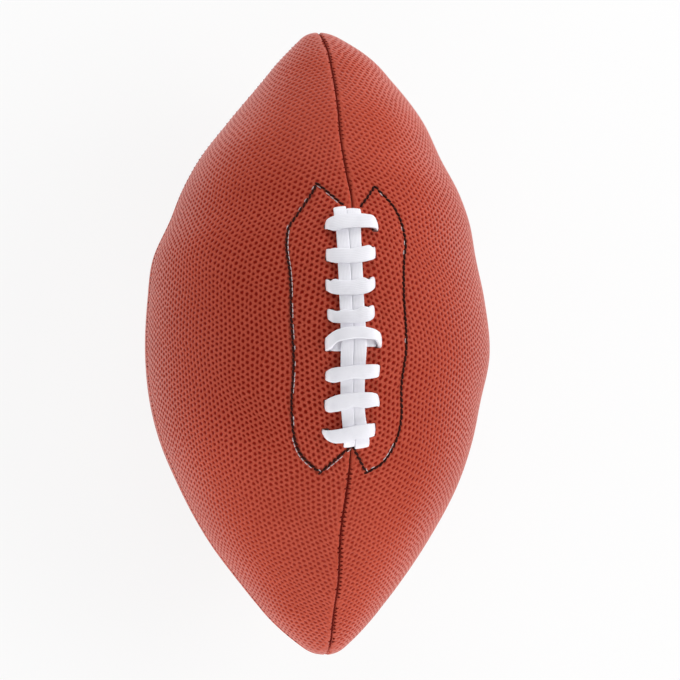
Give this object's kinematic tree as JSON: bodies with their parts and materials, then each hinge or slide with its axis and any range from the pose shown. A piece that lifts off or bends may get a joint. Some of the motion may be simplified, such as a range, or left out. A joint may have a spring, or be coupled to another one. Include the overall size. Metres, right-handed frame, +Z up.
{
  "type": "american football",
  "caption": "Prolate leather ball of sewn pebbled panels over a lining and an inflatable bladder, closed along one seam by a raised white lace with a stitched stay.",
  "frame": {"origin": "centre of the ball", "axes": "+Y along the ball from nose to nose, +Z up through the middle of the lace, +X to the right of the lace"},
  "size_m": [0.154, 0.28, 0.1578],
  "materials": {
    "leather": "pebbled, tanned reddish brown",
    "lining": "plain woven cotton",
    "stay": "dense woven canvas",
    "stay_thread": "waxed twisted thread",
    "bobbin_thread": "twisted white thread",
    "seam_thread": "waxed twisted thread",
    "lace": "smooth white vinyl",
    "tongue": "thin matt sheet",
    "bladder": "matt, dusted with talc",
    "valve": "moulded matt rubber",
    "valve_plug": "soft moulded rubber"
  },
  "bodies": {
    "root": {"panel_lace_right": "leather", "panel_lace_left": "leather", "panel_back_right": "leather", "panel_back_left": "leather", "lining_lace_right": "lining", "lining_lace_left": "lining", "lining_back_right": "lining", "lining_back_left": "lining", "stay_right": "stay", "stay_left": "stay", "stay_thread_right": "stay_thread", "stay_thread_left": "stay_thread", "stay_bobbin_right": "bobbin_thread", "stay_bobbin_left": "bobbin_thread", "seam_thread_lace_top": "seam_thread", "seam_thread_lace_bottom": "seam_thread", "seam_thread_right": "seam_thread", "seam_thread_back": "seam_thread", "seam_thread_left": "seam_thread", "lace": "lace", "lace_tongue": "tongue", "bladder": "bladder", "valve_body": "valve", "valve_plug": "valve_plug"}
  },
  "joints": []
}
